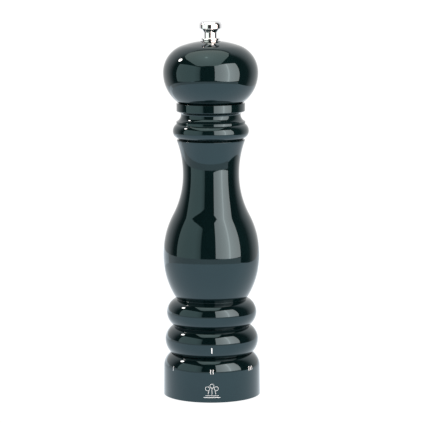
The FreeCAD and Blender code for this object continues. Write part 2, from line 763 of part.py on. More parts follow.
def makeConeBurr():
    body = newBody("cone_burr")
    revolve(body, "cone", [
        ("shaft_r", "square_foot"),
        ("shaft_r + burr_neck_wall", "square_foot"),
        ("shaft_r + burr_neck_wall", "burr_foot"),
        ("burr_foot_r", "burr_foot"),
        ("burr_top_r", "burr_top"),
        ("shaft_r", "burr_top"),
    ])
    # V-shaped flights follow the cone, and start a width below its foot
    foot = "burr_foot - burr_flight_width"
    edge = "burr_foot_r + burr_flare * burr_flight_width / burr_height"
    flight = spiral(body, "flight", [
        (f"{edge} - burr_flight_depth", foot),
        (f"{edge} + burr_flight_depth", f"{foot} - burr_flight_width"),
        (f"{edge} + burr_flight_depth", f"{foot} + burr_flight_width")],
        "burr_lead", "burr_height + 2 * burr_flight_width", "SubtractiveHelix",
        "-atan(burr_flare / burr_height)")
    ringOf(body, "flights", [flight], "burr_flights")


# ---------------------------------------------------------------- shaft


def makeShaft():
    body = newBody("drive_shaft")
    corner = "sqrt(shaft_r ^ 2 - half_flat ^ 2)"
    section = []
    for turn in range(4):
        for out, side in (("half_flat", f"0 - {corner}"), ("half_flat", corner)):
            across, up = (out, side), (f"0 - ({side})", out)
            spot = across if turn % 2 == 0 else up
            if turn > 1:
                spot = (f"0 - ({spot[0]})", f"0 - ({spot[1]})")
            section.append(spot if len(section) % 2 == 0 else (*spot, ("across", "0")))
    extrude(body, "square", "square_foot", "square_top - square_foot",
            lambda sketch: drawOutline(sketch, section))
    foot = "plate_recess - foot_overhang"
    clip = "plate_recess - end_float - clip_thick"
    revolve(body, "journal", [
        ("0", foot),
        ("journal_r", foot),
        ("journal_r", clip),
        ("journal_r - clip_depth", clip),
        ("journal_r - clip_depth", f"{clip} + clip_thick"),
        ("journal_r", f"{clip} + clip_thick"),
        ("journal_r", "square_foot"),
        ("0", "square_foot"),
    ])
    ridges = []
    for turn in range(int(sizes["thread_turns"])):
        level = f"thread_foot + {turn} * thread_pitch"
        ridges.append(("thread_r", level))
        ridges.append(("thread_r - thread_depth", f"{level} + thread_pitch / 2"))
    revolve(body, "thread", [
        ("0", "square_top"),
        ("thread_r", "square_top"),
        *ridges,
        ("thread_r - thread_depth", "thread_top"),
        ("0", "thread_top"),
    ])


def makeWasher():
    body = newBody("thrust_washer")
    revolve(body, "ring", box("journal_r", "journal_r + washer_width", "washer_foot", "square_foot"))


def makeClip():
    body = newBody("shaft_clip")
    clip = "plate_recess - end_float - clip_thick"
    revolve(body, "ring", box("journal_r - clip_depth", "journal_r - clip_depth + clip_width",
                              clip, f"{clip} + clip_thick"))
    cut(body, "mouth", clip, "clip_thick", lambda sketch: drawOutline(
        sketch, box("0", "journal_r + 2 * clip_width", "0 - clip_mouth / 2", "clip_mouth / 2")))


def makeSpring():
    body = newBody("shaft_spring")
    room = "(ledge_level - burr_top - spring_wire - 3 * end_float)"
    spiral(body, "coils", lambda sketch: drawCircle(
        sketch, "shaft_r + spring_wire", "burr_top + spring_wire / 2 + end_float", "spring_wire / 2"),
        f"{room} / spring_coils", room, "AdditiveHelix")


# ---------------------------------------------------------------- head and knob


def makeHead():
    body = newBody("wooden_head")
    revolve(body, "turning", [
        ("head_bore", "spigot_foot + drive_plate_thick"),
        ("drive_plate_r", "spigot_foot + drive_plate_thick"),
        ("drive_plate_r", "spigot_foot"),
        ("spigot_r", "spigot_foot"),
        ("spigot_r", "head_foot"),
        ("collar_r - head_foot_step", "head_foot", ("up", "head_crest")),
        ("head_r", "head_crest", ("up", "head_crest")),
        ("dome_join_r", "dome_join", ("across", "0")),
        ("seat_r", "seat_rim"),
        ("seat_r", "seat_level"),
        ("head_bore", "seat_level"),
    ])
    hole = cut(body, "pilot_hole", "spigot_foot + drive_plate_thick", "screw_length - drive_plate_thick",
               lambda sketch: drawCircle(sketch, "drive_screw_r", "0", "screw_radius + screw_fit"))
    ringOf(body, "pilot_holes", [hole], screwCount)


def makeDrivePlate():
    body = newBody("drive_plate")
    revolve(body, "disc", box("0", "drive_plate_r", "spigot_foot", "spigot_foot + drive_plate_thick"))
    half = "half_flat + slide_fit / 2"
    cut(body, "square_hole", "spigot_foot", "drive_plate_thick", lambda sketch: drawOutline(
        sketch, box(f"0 - ({half})", half, f"0 - ({half})", half)))
    seat = revolve(body, "screw_seat", [
        ("drive_screw_r", "spigot_foot"),
        ("drive_screw_r + screw_head_radius + screw_fit", "spigot_foot"),
        ("drive_screw_r + screw_radius + screw_fit", "spigot_foot + screw_head_radius - screw_radius"),
        ("drive_screw_r + screw_radius + screw_fit", "spigot_foot + drive_plate_thick"),
        ("drive_screw_r", "spigot_foot + drive_plate_thick"),
    ], "Groove", "drive_screw_r")
    ringOf(body, "screw_seats", [seat], screwCount)


def makeKnobWasher():
    body = newBody("knob_washer")
    revolve(body, "ring", box("thread_r + turn_gap", "thread_r + turn_gap + knob_washer_width",
                              "knob_washer_foot", "knob_washer_foot + knob_washer_thick"))


def makeKnob():
    body = newBody("knob")
    flange = "knob_foot + knob_flange_height"
    cone = f"{flange} + knob_neck_height"
    disc = f"{cone} + knob_cone_height"
    top = f"{disc} + knob_disc_height"
    revolve(body, "turning", [
        ("knob_bore", "knob_foot"),
        ("knob_flange_r", "knob_foot"),
        ("knob_flange_r", f"{flange} - knob_small_round", ("up", f"{flange} - knob_small_round")),
        ("knob_flange_r - knob_small_round", flange),
        ("knob_neck_r + knob_small_round", flange, ("up", f"{flange} + knob_small_round")),
        ("knob_neck_r", f"{flange} + knob_small_round"),
        ("knob_neck_r", cone),
        ("knob_cone_r", disc),
        ("knob_disc_r - knob_small_round", disc, ("up", f"{disc} + knob_small_round")),
        ("knob_disc_r", f"{disc} + knob_small_round"),
        ("knob_disc_r", f"{top} - knob_round", ("up", f"{top} - knob_round")),
        ("knob_disc_r - knob_round", top),
        ("0", top),
        ("0", "knob_foot + knob_bore_depth"),
        ("knob_bore", "knob_foot + knob_bore_depth"),
    ])


makeWoodenBody()
makeHousing()
makeHousingScrews()
makeDetentLeaf()
makeGuide()
makeBridge()
makeCountersunkScrews("bridge_screws", "plate_screw_r", "plate_recess", "screw_length", spokeTurn)
makeBush()
makeSelectorRing()
makeSleeve()
makeSleeveScrews()
makeCarrier()
makeRingBurr()
makeConeBurr()
makeShaft()
makeWasher()
makeClip()
makeSpring()
makeHead()
makeDrivePlate()
makeCountersunkScrews("drive_plate_screws", "drive_screw_r", "spigot_foot", "screw_length", 0)
makeKnobWasher()
makeKnob()

# ---------------------------------------------------------------- checks and export

doc.recompute()
for item in doc.Objects:
    if "Invalid" in item.State or "Error" in item.State:
        raise RuntimeError(f"{item.Label} failed: {item.State}")
for piece in pieces:
    if piece.Shape.isNull() or not piece.Shape.isValid() or not piece.Shape.Solids:
        raise RuntimeError(f"{piece.Label} has no valid solid")

os.makedirs("parts", exist_ok=True)
for piece in pieces:
    piece.Shape.exportStep(f"parts/{piece.Label}.step")
    print(piece.Label, len(piece.Shape.Solids), round(piece.Shape.Volume, 1))
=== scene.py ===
import math

import bpy
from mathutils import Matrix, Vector


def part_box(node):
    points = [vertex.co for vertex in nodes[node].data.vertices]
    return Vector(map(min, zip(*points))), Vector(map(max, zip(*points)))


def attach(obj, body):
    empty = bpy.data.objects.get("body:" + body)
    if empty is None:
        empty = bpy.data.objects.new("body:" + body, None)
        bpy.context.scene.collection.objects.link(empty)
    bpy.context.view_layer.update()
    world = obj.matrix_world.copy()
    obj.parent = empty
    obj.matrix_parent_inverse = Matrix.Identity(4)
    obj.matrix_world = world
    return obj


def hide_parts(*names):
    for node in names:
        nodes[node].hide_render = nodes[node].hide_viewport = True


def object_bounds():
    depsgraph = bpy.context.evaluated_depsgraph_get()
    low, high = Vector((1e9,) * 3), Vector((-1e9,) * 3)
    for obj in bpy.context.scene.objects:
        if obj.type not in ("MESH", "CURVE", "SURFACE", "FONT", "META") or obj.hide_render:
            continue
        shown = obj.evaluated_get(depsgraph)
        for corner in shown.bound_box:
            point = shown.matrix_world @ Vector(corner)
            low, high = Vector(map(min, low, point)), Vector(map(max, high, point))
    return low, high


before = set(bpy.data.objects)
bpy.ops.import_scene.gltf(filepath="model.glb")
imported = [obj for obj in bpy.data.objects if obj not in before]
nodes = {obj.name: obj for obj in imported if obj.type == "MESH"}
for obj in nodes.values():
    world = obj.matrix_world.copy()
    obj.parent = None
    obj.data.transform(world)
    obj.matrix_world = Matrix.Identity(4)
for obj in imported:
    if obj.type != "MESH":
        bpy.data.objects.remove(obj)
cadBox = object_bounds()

# Pepper mill: lacquered beech case, head and foot ring turned again here at full smoothness,
# the polished knob, the printed marks, and a finish for every piece of the mechanism.
# Cuts are in mm; everything built is in metres, +Z up the mill's axis, -Y to the front.

mm = 0.001
print("frame loaded,", len(nodes), "nodes")


def deselectAll():
    if bpy.context.object and bpy.context.object.mode != "OBJECT":
        bpy.ops.object.mode_set(mode="OBJECT")
    bpy.ops.object.select_all(action="DESELECT")


def makeActive(*objects):
    deselectAll()
    for one in objects:
        one.select_set(True)
    bpy.context.view_layer.objects.active = objects[-1]


def startPoint(name, place):
    # a small plane merged to one point, left in edit mode with that point selected
    deselectAll()
    bpy.ops.mesh.primitive_plane_add(size=mm, location=place)
    piece = bpy.context.object
    piece.name = piece.data.name = name
    bpy.ops.object.transform_apply(location=True, rotation=True, scale=True)
    bpy.ops.object.mode_set(mode="EDIT")
    bpy.ops.mesh.select_mode(type="VERT")
    bpy.ops.mesh.select_all(action="SELECT")
    bpy.ops.mesh.merge(type="CENTER")
    return piece


def pullPoint(across, up):
    bpy.ops.mesh.extrude_vertices_move(TRANSFORM_OT_translate={"value": (across, 0, up)})


lathe = {
    "arcStep": 2.0,         # degrees of an arc for each cut
    "finestCut": 0.12,      # mm, small rounds get no finer than this
    "around": 224,          # divisions of a full turn
    "edgeRound": 0.16,      # mm taken off each sharp edge
    "sharpTurn": 24.0,      # degrees; a corner that turns more than this is an edge
    "smoothUnder": 40.0,    # degrees; shading stays smooth below this
    "outlineMerge": 0.005,  # mm, points of an outline closer than this are one
    "seamMerge": 0.002,     # mm, the same for the seam and the poles of a full turn
    "fewestCuts": 4,        # for an arc, however short
    "edgeSteps": 3,         # cuts across a rounded edge
}


def cutOutline(cuts, foot):
    # (radius, height) is a straight cut, (radius, height, height of the centre) is an arc
    points = [(c[0] * mm, foot + c[1] * mm, foot + c[2] * mm if len(c) > 2 else None) for c in cuts]
    for (r0, z0, _), (r1, z1, middle) in zip(points, points[1:]):
        if middle is None:
            pullPoint(r1 - r0, z1 - z0)
            continue
        centre = (r0 * r0 - r1 * r1 + (z0 - middle) ** 2 - (z1 - middle) ** 2) / (2 * (r0 - r1))
        turn = math.atan2(r1 - centre, z1 - middle) - math.atan2(r0 - centre, z0 - middle)
        length = abs(turn) * math.hypot(r0 - centre, z0 - middle)
        byAngle, byLength = abs(math.degrees(turn)) / lathe["arcStep"], length / (lathe["finestCut"] * mm)
        steps = min(byAngle, byLength)
        bpy.ops.mesh.spin(steps=max(lathe["fewestCuts"], math.ceil(steps)), angle=-turn,
                          center=(centre, 0, middle), axis=(0, 1, 0))


def selectCornersOfOutline(piece):
    # picks the corners of the outline that turn sharply, so that they can be rounded
    bpy.ops.mesh.select_all(action="DESELECT")
    bpy.ops.object.mode_set(mode="OBJECT")
    mesh = piece.data
    ways = {v.index: [] for v in mesh.vertices}
    for edge in mesh.edges:
        a, b = edge.vertices
        ways[a].append(mesh.vertices[b].co - mesh.vertices[a].co)
        ways[b].append(mesh.vertices[a].co - mesh.vertices[b].co)
    for v in mesh.vertices:
        out = ways[v.index]
        v.select = len(out) == 2 and 180 - math.degrees(out[0].angle(out[1])) > lathe["sharpTurn"]
    bpy.ops.object.mode_set(mode="EDIT")


def turnPiece(name, cuts, foot, closed=True):
    # an outline of cuts above the foot, its corners rounded, spun a full turn about the axis
    cuts = list(cuts.values())
    if closed:
        cuts = cuts + [cuts[0][:2]]
    piece = startPoint(name, (cuts[0][0] * mm, 0, foot + cuts[0][1] * mm))
    cutOutline(cuts, foot)
    bpy.ops.mesh.select_all(action="SELECT")
    bpy.ops.mesh.remove_doubles(threshold=lathe["outlineMerge"] * mm)
    selectCornersOfOutline(piece)
    bpy.ops.mesh.bevel(offset=lathe["edgeRound"] * mm, segments=lathe["edgeSteps"], affect="VERTICES")
    bpy.ops.mesh.select_all(action="SELECT")
    bpy.ops.mesh.spin(steps=lathe["around"], angle=math.radians(360), center=(0, 0, 0), axis=(0, 0, 1))
    bpy.ops.mesh.select_all(action="SELECT")
    bpy.ops.mesh.remove_doubles(threshold=lathe["seamMerge"] * mm)
    bpy.ops.mesh.normals_make_consistent(inside=False)
    bpy.ops.object.mode_set(mode="OBJECT")
    bpy.ops.object.shade_smooth_by_angle(angle=math.radians(lathe["smoothUnder"]))
    low, high = Vector(piece.bound_box[0]), Vector(piece.bound_box[6])
    print(name, "turned,", len(piece.data.polygons), "faces, foot", round(low.z / mm, 2),
          "top", round(high.z / mm, 2), "radius", round(high.x / mm, 2))
    return piece


def addNode(tree, kind, column, row=0, **settings):
    node = tree.nodes.new(kind)
    node.location = (column * 220 - 1100, 300 - row * 230)
    for key, value in settings.items():
        setattr(node, key, value)
    return node


def setInputs(node, **values):
    for key, value in values.items():
        node.inputs[key.replace("_", " ")].default_value = value
    return node


def newGroup(name, inputs, outputs):
    # inputs with None take a vector, with three numbers a colour, otherwise a value
    group = bpy.data.node_groups.new(name, "ShaderNodeTree")
    for label, start in inputs.items():
        kind = "Vector" if start is None else "Color" if isinstance(start, tuple) else "Float"
        socket = group.interface.new_socket(label, in_out="INPUT", socket_type="NodeSocket" + kind)
        if start is not None:
            socket.default_value = (*start, 1.0) if isinstance(start, tuple) else start
    for label in outputs:
        kind = "Color" if label == "Colour" else "Float"
        group.interface.new_socket(label, in_out="OUTPUT", socket_type="NodeSocket" + kind)
    return group, addNode(group, "NodeGroupInput", 0), addNode(group, "NodeGroupOutput", 6)


def noiseInto(tree, column, row, vector, scale, detail=3.0, roughness=0.55):
    noise = addNode(tree, "ShaderNodeTexNoise", column, row)
    setInputs(noise, Detail=detail, Roughness=roughness)
    tree.links.new(vector, noise.inputs["Vector"])
    if scale is not None:
        tree.links.new(scale, noise.inputs["Scale"])
    return noise


def stretchNode(tree, column, row, fac, low, high):
    # spreads the middle of a noise over 0 to 1
    node = addNode(tree, "ShaderNodeMapRange", column, row)
    setInputs(node, From_Min=low, From_Max=high)
    tree.links.new(fac, node.inputs["Value"])
    return node


def mixColours(tree, column, row, factor, first, second):
    mix = addNode(tree, "ShaderNodeMix", column, row, data_type="RGBA")
    tree.links.new(factor, mix.inputs["Factor"])
    for socket, value in ((mix.inputs[6], first), (mix.inputs[7], second)):
        if isinstance(value, tuple):
            socket.default_value = (*value, 1.0)
        else:
            tree.links.new(value, socket)
    return mix.outputs[2]


def buildPatina():
    group, source, sink = newGroup("patina", {"Vector": None, "Size": 40.0, "First": (0.5, 0.5, 0.5),
                                              "Second": (0.4, 0.4, 0.4)}, ["Colour"])
    noise = noiseInto(group, 1, 0, source.outputs["Vector"], source.outputs["Size"], 5.0, 0.6)
    spread = stretchNode(group, 2, 0, noise.outputs["Fac"], 0.34, 0.66)
    colour = mixColours(group, 3, 0, spread.outputs["Result"],
                        source.outputs["First"], source.outputs["Second"])
    group.links.new(colour, sink.inputs["Colour"])
    return group


def buildRoughnessSpread():
    group, source, sink = newGroup("roughnessSpread", {"Vector": None, "Size": 60.0, "Low": 0.2, "High": 0.4},
                                   ["Roughness"])
    noise = noiseInto(group, 1, 0, source.outputs["Vector"], source.outputs["Size"], 4.0, 0.62)
    spread = stretchNode(group, 2, 0, noise.outputs["Fac"], 0.32, 0.68)
    group.links.new(source.outputs["Low"], spread.inputs["To Min"])
    group.links.new(source.outputs["High"], spread.inputs["To Max"])
    group.links.new(spread.outputs["Result"], sink.inputs["Roughness"])
    return group


def buildTurningLines():
    # fine rings left by the lathe tool: a noise that changes only along the outline
    group, source, sink = newGroup("turningLines", {"Vector": None, "Size": 2500.0}, ["Height"])
    flat = addNode(group, "ShaderNodeVectorMath", 1, 0, operation="MULTIPLY")
    flat.inputs[1].default_value = (1.0, 1.0, 0.0)
    length = addNode(group, "ShaderNodeVectorMath", 2, 0, operation="LENGTH")
    split = addNode(group, "ShaderNodeSeparateXYZ", 1, 1)
    along = addNode(group, "ShaderNodeMath", 3, 0, operation="ADD")
    noise = addNode(group, "ShaderNodeTexNoise", 4, 0, noise_dimensions="1D")
    setInputs(noise, Detail=2.0, Roughness=0.6)
    group.links.new(source.outputs["Vector"], flat.inputs[0])
    group.links.new(source.outputs["Vector"], split.inputs["Vector"])
    group.links.new(flat.outputs["Vector"], length.inputs[0])
    group.links.new(length.outputs["Value"], along.inputs[0])
    group.links.new(split.outputs["Z"], along.inputs[1])
    group.links.new(along.outputs["Value"], noise.inputs["W"])
    group.links.new(source.outputs["Size"], noise.inputs["Scale"])
    group.links.new(noise.outputs["Fac"], sink.inputs["Height"])
    return group


def buildSurfaceUndulation():
    # the slow waves of a hand-rubbed lacquer and the finer orange peel on them
    group, source, sink = newGroup("surfaceUndulation", {
        "Vector": None, "Wave Size": 90.0, "Peel Size": 700.0, "Peel": 0.15}, ["Height"])
    wave = noiseInto(group, 1, 0, source.outputs["Vector"], source.outputs["Wave Size"], 1.0, 0.4)
    peel = noiseInto(group, 1, 1, source.outputs["Vector"], source.outputs["Peel Size"], 1.0, 0.5)
    both = addNode(group, "ShaderNodeMath", 2, 0, operation="MULTIPLY_ADD")
    group.links.new(peel.outputs["Fac"], both.inputs[0])
    group.links.new(source.outputs["Peel"], both.inputs[1])
    group.links.new(wave.outputs["Fac"], both.inputs[2])
    group.links.new(both.outputs["Value"], sink.inputs["Height"])
    return group


def buildFineGrain():
    # the eroded texture of a mould, or the skin of a casting
    group, source, sink = newGroup("fineGrain", {"Vector": None, "Size": 2600.0}, ["Height"])
    noise = noiseInto(group, 1, 0, source.outputs["Vector"], source.outputs["Size"], 2.0, 0.5)
    cells = addNode(group, "ShaderNodeTexVoronoi", 1, 1, feature="SMOOTH_F1")
    group.links.new(source.outputs["Vector"], cells.inputs["Vector"])
    group.links.new(source.outputs["Size"], cells.inputs["Scale"])
    both = addNode(group, "ShaderNodeMath", 2, 0, operation="ADD")
    group.links.new(noise.outputs["Fac"], both.inputs[0])
    group.links.new(cells.outputs["Distance"], both.inputs[1])
    group.links.new(both.outputs["Value"], sink.inputs["Height"])
    return group


def buildWoodGrain():
    # soft growth rings and the short dark flecks of beech, both long along the axis
    group, source, sink = newGroup("woodGrain", {"Vector": None, "Ring Size": 140.0, "Fleck Size": 900.0},
                                   ["Rings", "Flecks"])
    marksOfGrain = (("Ring", 0.08, (0.38, 0.62)), ("Fleck", 0.14, (0.58, 0.68)))
    for row, (label, squeeze, edge) in enumerate(marksOfGrain):
        long = addNode(group, "ShaderNodeMapping", 1, row)
        long.inputs["Scale"].default_value = (1.0, 1.0, squeeze)
        group.links.new(source.outputs["Vector"], long.inputs["Vector"])
        noise = noiseInto(group, 2, row, long.outputs["Vector"], source.outputs[label + " Size"], 2.0, 0.5)
        sharp = stretchNode(group, 3, row, noise.outputs["Fac"], *edge)
        group.links.new(sharp.outputs["Result"], sink.inputs[label + "s"])
    return group


effects = {"patina": buildPatina(), "roughnessSpread": buildRoughnessSpread(),
           "turningLines": buildTurningLines(), "surfaceUndulation": buildSurfaceUndulation(),
           "fineGrain": buildFineGrain(), "woodGrain": buildWoodGrain()}


def placeEffect(tree, name, column, row, vector, **values):
    node = addNode(tree, "ShaderNodeGroup", column, row, node_tree=effects[name])
    tree.links.new(vector, node.inputs["Vector"])
    for key, value in values.items():
        start = (*value, 1.0) if isinstance(value, tuple) else value
        node.inputs[key.replace("_", " ")].default_value = start
    return node


def makeFinish(name, look):
    # colour and roughness that drift over the surface, and a relief from one or two effects
    material = bpy.data.materials.new(name)
    material.use_nodes = True
    tree = material.node_tree
    shader = tree.nodes["Principled BSDF"]
    shader.location = (900, 300)
    tree.nodes["Material Output"].location = (1200, 300)
    for key, value in look["shader"].items():
        shader.inputs[key].default_value = value
    place = addNode(tree, "ShaderNodeTexCoord", 0, 1).outputs["Object"]
    drift = placeEffect(tree, "patina", 2, 0, place, **look["patina"])
    colour = drift.outputs["Colour"]
    if "wood" in look:
        grain = placeEffect(tree, "woodGrain", 2, 3, place, **look["wood"]["size"])
        colour = mixColours(tree, 3, 0, grain.outputs["Rings"], colour, look["wood"]["rings"])
        colour = mixColours(tree, 4, 0, grain.outputs["Flecks"], colour, look["wood"]["flecks"])
    tree.links.new(colour, shader.inputs["Base Color"])
    spread = placeEffect(tree, "roughnessSpread", 2, 1, place, **look["roughness"])
    tree.links.new(spread.outputs["Roughness"], shader.inputs["Roughness"])
    normal = None
    for step, (effect, height, values) in enumerate(look["relief"]):
        relief = placeEffect(tree, effect, 3, 4 + step, place, **values)
        bump = addNode(tree, "ShaderNodeBump", 5 + step, 4)
        setInputs(bump, Strength=1.0, Distance=height * mm)
        tree.links.new(relief.outputs["Height"], bump.inputs["Height"])
        if normal is not None:
            tree.links.new(normal, bump.inputs["Normal"])
        normal = bump.outputs["Normal"]
    tree.links.new(normal, shader.inputs["Normal"])
    return material


finishes = {
    "lacquer": {
        "shader": {"IOR": 1.5, "Specular Tint": (0.70, 1.0, 1.12, 1.0)},
        "patina": {"Size": 35.0, "First": (0.0008, 0.0036, 0.0040), "Second": (0.0014, 0.0056, 0.0062)},
        "roughness": {"Size": 70.0, "Low": 0.030, "High": 0.045},
        "relief": [("surfaceUndulation", 0.0016, {"Wave_Size": 60.0, "Peel_Size": 520.0, "Peel": 0.06}),
                   ("turningLines", 0.00002, {"Size": 1400.0})],
    },
    "bareBeech": {
        "shader": {"IOR": 1.45},
        "patina": {"Size": 30.0, "First": (0.60, 0.39, 0.23), "Second": (0.53, 0.32, 0.18)},
        "wood": {"size": {"Ring_Size": 160.0, "Fleck_Size": 1100.0}, "rings": (0.44, 0.25, 0.13),
                 "flecks": (0.27, 0.14, 0.07)},
        "roughness": {"Size": 120.0, "Low": 0.55, "High": 0.75},
        "relief": [("turningLines", 0.02, {"Size": 2600.0}), ("fineGrain", 0.006, {"Size": 1800.0})],
    },
    "polishedSteel": {
        "shader": {"Metallic": 1.0},
        "patina": {"Size": 120.0, "First": (0.86, 0.86, 0.87), "Second": (0.80, 0.80, 0.82)},
        "roughness": {"Size": 160.0, "Low": 0.05, "High": 0.10},
        "relief": [("turningLines", 0.00008, {"Size": 5200.0})],
    },
    "shaftSteel": {
        "shader": {"Metallic": 1.0},
        "patina": {"Size": 150.0, "First": (0.56, 0.56, 0.57), "Second": (0.47, 0.47, 0.49)},
        "roughness": {"Size": 220.0, "Low": 0.26, "High": 0.40},
        "relief": [("fineGrain", 0.0012, {"Size": 5200.0})],
    },
    "burrSteel": {
        "shader": {"Metallic": 1.0},
        "patina": {"Size": 260.0, "First": (0.17, 0.17, 0.18), "Second": (0.10, 0.10, 0.11)},
        "roughness": {"Size": 300.0, "Low": 0.30, "High": 0.48},
        "relief": [("fineGrain", 0.003, {"Size": 3800.0}), ("turningLines", 0.002, {"Size": 6000.0})],
    },
    "zincScrews": {
        "shader": {"Metallic": 1.0},
        "patina": {"Size": 300.0, "First": (0.66, 0.66, 0.68), "Second": (0.54, 0.56, 0.60)},
        "roughness": {"Size": 500.0, "Low": 0.20, "High": 0.34},
        "relief": [("fineGrain", 0.0015, {"Size": 6000.0})],
    },
    "springSteel": {
        "shader": {"Metallic": 1.0},
        "patina": {"Size": 200.0, "First": (0.46, 0.46, 0.47), "Second": (0.36, 0.36, 0.38)},
        "roughness": {"Size": 320.0, "Low": 0.22, "High": 0.36},
        "relief": [("fineGrain", 0.001, {"Size": 7000.0})],
    },
    "housingPlastic": {
        "shader": {"IOR": 1.5},
        "patina": {"Size": 60.0, "First": (0.030, 0.030, 0.032), "Second": (0.020, 0.021, 0.022)},
        "roughness": {"Size": 110.0, "Low": 0.42, "High": 0.58},
        "relief": [("fineGrain", 0.012, {"Size": 2400.0})],
    },
    "sleevePlastic": {
        "shader": {"IOR": 1.5},
        "patina": {"Size": 70.0, "First": (0.33, 0.33, 0.34), "Second": (0.27, 0.27, 0.28)},
        "roughness": {"Size": 120.0, "Low": 0.34, "High": 0.48},
        "relief": [("fineGrain", 0.008, {"Size": 2800.0})],
    },
    "bushBrass": {
        "shader": {"Metallic": 1.0},
        "patina": {"Size": 240.0, "First": (0.74, 0.53, 0.24), "Second": (0.58, 0.39, 0.16)},
        "roughness": {"Size": 260.0, "Low": 0.22, "High": 0.38},
        "relief": [("turningLines", 0.002, {"Size": 4200.0})],
    },
    "plateZinc": {
        "shader": {"Metallic": 1.0},
        "patina": {"Size": 110.0, "First": (0.60, 0.60, 0.62), "Second": (0.50, 0.50, 0.53)},
        "roughness": {"Size": 150.0, "Low": 0.36, "High": 0.54},
        "relief": [("fineGrain", 0.010, {"Size": 1900.0})],
    },
    "markWhite": {
        "shader": {"IOR": 1.5},
        "patina": {"Size": 900.0, "First": (0.80, 0.82, 0.82), "Second": (0.62, 0.65, 0.66)},
        "roughness": {"Size": 900.0, "Low": 0.28, "High": 0.45},
        "relief": [("fineGrain", 0.002, {"Size": 5200.0})],
    },
}
made = {name: makeFinish(name, look) for name, look in finishes.items()}
print("finishes made,", len(made))


# The mechanism keeps its own meshes and takes its finish by name.
mechanism = {
    "housingPlastic": ["mechanism_housing", "shaft_guide", "lower_bridge"],
    "sleevePlastic": ["selector_sleeve", "burr_carrier"],
    "zincScrews": ["housing_screws", "bridge_screws", "sleeve_screws", "drive_plate_screws"],
    "springSteel": ["shaft_spring", "detent_leaf", "shaft_clip", "thrust_washer"],
    "burrSteel": ["cone_burr", "ring_burr"],
    "shaftSteel": ["drive_shaft"],
    "polishedSteel": ["knob_washer"],
    "bushBrass": ["foot_bush"],
    "plateZinc": ["drive_plate"],
}
for finish, names in mechanism.items():
    for name in names:
        node = nodes[name]
        if not node.material_slots:
            node.data.materials.append(None)
        for held in node.material_slots:
            held.material = made[finish]
print("mechanism finished")


skin = 0.1                  # mm, how far past a bore its wall still counts as the bore
roofSkin = 0.2              # mm, the same above a recess


def lacquerOutside(piece, isBare):
    # lacquer, but bare wood wherever isBare says so of a face's radius and height in mm
    piece.data.materials.append(made["lacquer"])
    piece.data.materials.append(made["bareBeech"])
    for face in piece.data.polygons:
        radius = math.hypot(face.center.x, face.center.y) / mm
        face.material_index = 1 if isBare(radius, face.center.z / mm) else 0


# Case, heights above its own foot.
caseCuts = {
    "socket mouth": (19.5, 0.0),
    "foot": (24.5, 0.0),
    "lower bead": (27.8, 8.0, 8.0),
    "crease above it": (22.55, 16.4, 8.0),
    "upper bead": (26.85, 24.4, 24.4),
    "crease under the belly": (21.05, 32.6, 24.4),
    "belly": (28.8, 58.9, 58.9),
    "belly meets waist": (22.8, 83.05, 58.9),
    "waist": (16.8, 107.2, 107.2),
    "top of the waist": (16.8, 107.8),
    "flare": (20.4, 127.9, 107.8),
    "step under the collar": (18.8, 128.6),
    "collar": (22.65, 133.2, 133.2),
    "top of the collar": (20.5, 137.4, 133.2),
    "fillet": (20.5, 138.9),
    "cove": (17.8, 143.0, 143.0),
    "cove top": (18.9, 144.4, 143.0),
    "neck band foot": (19.9, 144.9),
    "neck band": (20.4, 145.4, 145.4),
    "rim": (20.4, 149.8),
    "mouth": (13.3, 149.8),
    "mouth bevel": (12.5, 149.0),
    "store": (12.5, 22.2),
    "socket roof": (19.5, 22.2),
}
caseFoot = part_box("wooden_body")[0].z
caseSocket, caseStore = caseCuts["socket mouth"][0], caseCuts["mouth"][0]
woodenCase = turnPiece("lacquered_case", caseCuts, caseFoot)
lacquerOutside(woodenCase, lambda radius, z: radius < caseStore + skin or (
    radius < caseSocket + skin and z < caseFoot / mm + caseCuts["socket roof"][1] + roofSkin))
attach(woodenCase, "case")
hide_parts("wooden_body")

# Foot ring, which turns to set the grind.
ringCuts = {
    "inner foot": (25.9, 0.0),
    "outer foot": (28.6, 0.0),
    "foot round": (29.1, 0.5, 0.5),
    "side": (28.8, 17.0),
    "shoulder": (24.5, 25.3, 17.0),
    "top": (22.6, 25.3),
    "bore": (22.6, 3.0),
    "recess": (25.9, 3.0),
}
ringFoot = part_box("base_ring")[0].z
footRing = turnPiece("lacquered_foot_ring", ringCuts, ringFoot)
lacquerOutside(footRing, lambda radius, z: radius < ringCuts["bore"][0] + skin or (
    radius < ringCuts["recess"][0] + skin and z < ringFoot / mm + ringCuts["recess"][1] + roofSkin))
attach(footRing, "selector")
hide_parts("base_ring")

# Turning head with its spigot, heights above the spigot's foot.
headCuts = {
    "plate recess": (10.2, 0.0),
    "spigot foot": (12.2, 0.0),
    "spigot": (12.2, 8.6),
    "underside": (19.2, 8.6),
    "ball": (28.25, 26.45, 26.45),
    "ball meets dome": (16.83, 42.51, 26.45),
    "dome": (6.2, 44.97, -5.91),
    "knob seat": (6.2, 44.65),
    "bore top": (3.9, 44.65),
    "bore foot": (3.9, 2.0),
    "recess roof": (10.2, 2.0),
}
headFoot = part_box("wooden_head")[0].z
spigotTop = headFoot / mm + headCuts["spigot"][1]
woodenHead = turnPiece("lacquered_head", headCuts, headFoot)
lacquerOutside(woodenHead, lambda radius, z: radius < headCuts["bore top"][0] + skin or (
    radius < headCuts["spigot"][0] + skin and z < spigotTop - skin))
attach(woodenHead, "head")
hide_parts("wooden_head")

